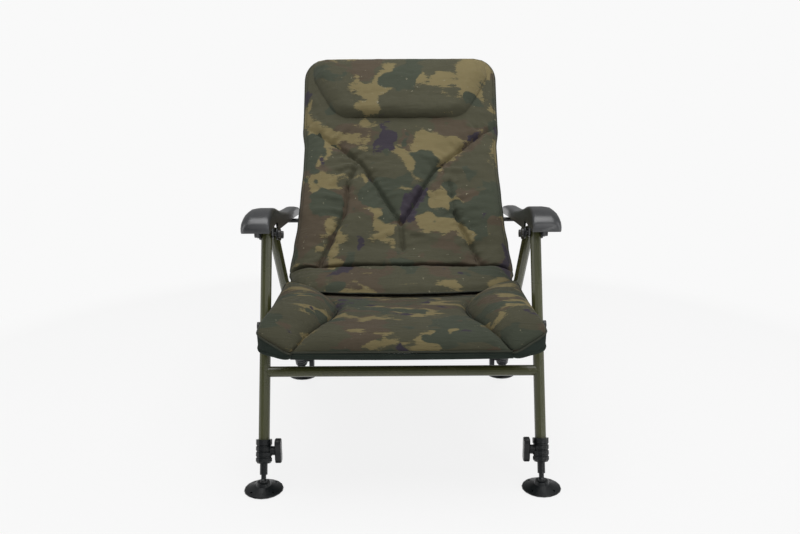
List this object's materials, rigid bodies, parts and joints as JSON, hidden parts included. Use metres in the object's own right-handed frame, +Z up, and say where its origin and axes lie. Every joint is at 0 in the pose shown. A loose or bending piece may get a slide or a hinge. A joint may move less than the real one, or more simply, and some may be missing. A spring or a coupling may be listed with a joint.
{
  "type": "folding carp fishing chair",
  "caption": "Folding carp fishing chair with padded seat, head pillow, moulded armrests, reclining back and adjustable legs on round swivel feet.",
  "frame": {"origin": "on the floor under the middle of the chair's overall depth", "axes": "+Z up, -Y the way the sitter faces, +X towards the right-hand arm as seen from the front"},
  "size_m": [0.634, 0.879, 0.8096],
  "materials": {
    "green_frame": "satin olive green paint on steel tube",
    "black_plastic": "moulded black nylon",
    "pivot_steel": "blackened steel",
    "camo_fabric": null
  },
  "bodies": {
    "front_frame": {"front_crossbar": "green_frame", "front_leg_tube_left": "green_frame", "front_leg_collar_left": "black_plastic", "hinge_cheek_outer_left": "black_plastic", "hinge_cheek_inner_left": "black_plastic", "arm_pivot_bolt_left": "pivot_steel", "rear_leg_bolt_left": "pivot_steel", "seat_pivot_bolt_left": "pivot_steel", "front_leg_tube_right": "green_frame", "front_leg_collar_right": "black_plastic", "hinge_cheek_outer_right": "black_plastic", "hinge_cheek_inner_right": "black_plastic", "arm_pivot_bolt_right": "pivot_steel", "rear_leg_bolt_right": "pivot_steel", "seat_pivot_bolt_right": "pivot_steel"},
    "rear_frame": {"rear_crossbar": "green_frame", "rear_leg_tube_left": "green_frame", "rear_leg_collar_left": "black_plastic", "rear_leg_tube_right": "green_frame", "rear_leg_collar_right": "black_plastic"},
    "seat": {"seat_front_bar": "green_frame", "seat_rear_bar": "green_frame", "seat_pad": "camo_fabric", "seat_rail_left": "green_frame", "seat_corner_left": "black_plastic", "back_hinge_post_left": "green_frame", "back_hinge_bolt_left": "pivot_steel", "seat_bolster_left": "camo_fabric", "seat_rail_right": "green_frame", "seat_corner_right": "black_plastic", "back_hinge_post_right": "green_frame", "back_hinge_bolt_right": "pivot_steel", "seat_bolster_right": "camo_fabric"},
    "back": {"back_top_bar": "green_frame", "back_lumbar_bar": "green_frame", "back_pad": "camo_fabric", "head_pillow": "camo_fabric", "back_tube_left": "green_frame", "back_hinge_bracket_left": "green_frame", "recline_peg_left": "pivot_steel", "back_tube_right": "green_frame", "back_hinge_bracket_right": "green_frame", "recline_peg_right": "pivot_steel"},
    "armrest_left": {"armrest_left": "black_plastic"},
    "front_left_knob": {"front_leg_knob_left": "black_plastic"},
    "front_left_inner_leg": {"front_inner_leg_left": "black_plastic"},
    "front_left_foot": {"front_foot_left": "black_plastic"},
    "rear_left_knob": {"rear_leg_knob_left": "black_plastic"},
    "rear_left_inner_leg": {"rear_inner_leg_left": "black_plastic"},
    "rear_left_foot": {"rear_foot_left": "black_plastic"},
    "armrest_right": {"armrest_right": "black_plastic"},
    "front_right_knob": {"front_leg_knob_right": "black_plastic"},
    "front_right_inner_leg": {"front_inner_leg_right": "black_plastic"},
    "front_right_foot": {"front_foot_right": "black_plastic"},
    "rear_right_knob": {"rear_leg_knob_right": "black_plastic"},
    "rear_right_inner_leg": {"rear_inner_leg_right": "black_plastic"},
    "rear_right_foot": {"rear_foot_right": "black_plastic"}
  },
  "joints": [
    {"name": "rear_leg_fold", "type": "hinge", "parent": "front_frame", "child": "rear_frame", "pos_m": [0, -0.18997, 0.468], "axis": [1, 0, 0], "range_deg": [-46, 0]},
    {"name": "seat_fold", "type": "hinge", "parent": "front_frame", "child": "seat", "pos_m": [0, -0.28974, 0.303], "axis": [1, 0, 0], "range_deg": [-60, 0]},
    {"name": "back_recline", "type": "hinge", "parent": "seat", "child": "back", "pos_m": [0, 0.04803, 0.348], "axis": [1, 0, 0], "range_deg": [-20, 100]},
    {"name": "armrest_left_lift", "type": "hinge", "parent": "front_frame", "child": "armrest_left", "pos_m": [-0.272, -0.22397, 0.477], "axis": [1, 0, 0], "range_deg": [-6, 24]},
    {"name": "front_left_knob_turn", "type": "hinge", "parent": "front_frame", "child": "front_left_knob", "pos_m": [-0.25, -0.37629, 0.07405], "axis": [1, 0, 0], "continuous": true},
    {"name": "front_left_leg_extend", "type": "slide", "parent": "front_frame", "child": "front_left_inner_leg", "axis": [0, -0.3536, -0.9354], "range_m": [0, 0.1]},
    {"name": "front_left_foot_tilt", "type": "hinge", "parent": "front_left_inner_leg", "child": "front_left_foot", "pos_m": [-0.272, -0.39747, 0.018], "axis": [1, 0, 0], "range_deg": [-12, 12]},
    {"name": "rear_left_knob_turn", "type": "hinge", "parent": "rear_frame", "child": "rear_left_knob", "pos_m": [-0.241, 0.17353, 0.06261], "axis": [1, 0, 0], "continuous": true},
    {"name": "rear_left_leg_extend", "type": "slide", "parent": "rear_frame", "child": "rear_left_inner_leg", "axis": [0, 0.6676, -0.7445], "range_m": [0, 0.1]},
    {"name": "rear_left_foot_tilt", "type": "hinge", "parent": "rear_left_inner_leg", "child": "rear_left_foot", "pos_m": [-0.263, 0.21353, 0.018], "axis": [1, 0, 0], "range_deg": [-12, 12]},
    {"name": "armrest_right_lift", "type": "hinge", "parent": "front_frame", "child": "armrest_right", "pos_m": [0.272, -0.22397, 0.477], "axis": [1, 0, 0], "range_deg": [-6, 24]},
    {"name": "front_right_knob_turn", "type": "hinge", "parent": "front_frame", "child": "front_right_knob", "pos_m": [0.25, -0.37629, 0.07405], "axis": [1, 0, 0], "continuous": true},
    {"name": "front_right_leg_extend", "type": "slide", "parent": "front_frame", "child": "front_right_inner_leg", "axis": [0, -0.3536, -0.9354], "range_m": [0, 0.1]},
    {"name": "front_right_foot_tilt", "type": "hinge", "parent": "front_right_inner_leg", "child": "front_right_foot", "pos_m": [0.272, -0.39747, 0.018], "axis": [1, 0, 0], "range_deg": [-12, 12]},
    {"name": "rear_right_knob_turn", "type": "hinge", "parent": "rear_frame", "child": "rear_right_knob", "pos_m": [0.241, 0.17353, 0.06261], "axis": [1, 0, 0], "continuous": true},
    {"name": "rear_right_leg_extend", "type": "slide", "parent": "rear_frame", "child": "rear_right_inner_leg", "axis": [0, 0.6676, -0.7445], "range_m": [0, 0.1]},
    {"name": "rear_right_foot_tilt", "type": "hinge", "parent": "rear_right_inner_leg", "child": "rear_right_foot", "pos_m": [0.263, 0.21353, 0.018], "axis": [1, 0, 0], "range_deg": [-12, 12]}
  ],
  "couplings": [
    {"joint": "seat_fold", "follows": "rear_leg_fold", "ratio": 1.3},
    {"joint": "armrest_left_lift", "follows": "back_recline", "ratio": 0.215},
    {"joint": "armrest_right_lift", "follows": "back_recline", "ratio": 0.215}
  ]
}
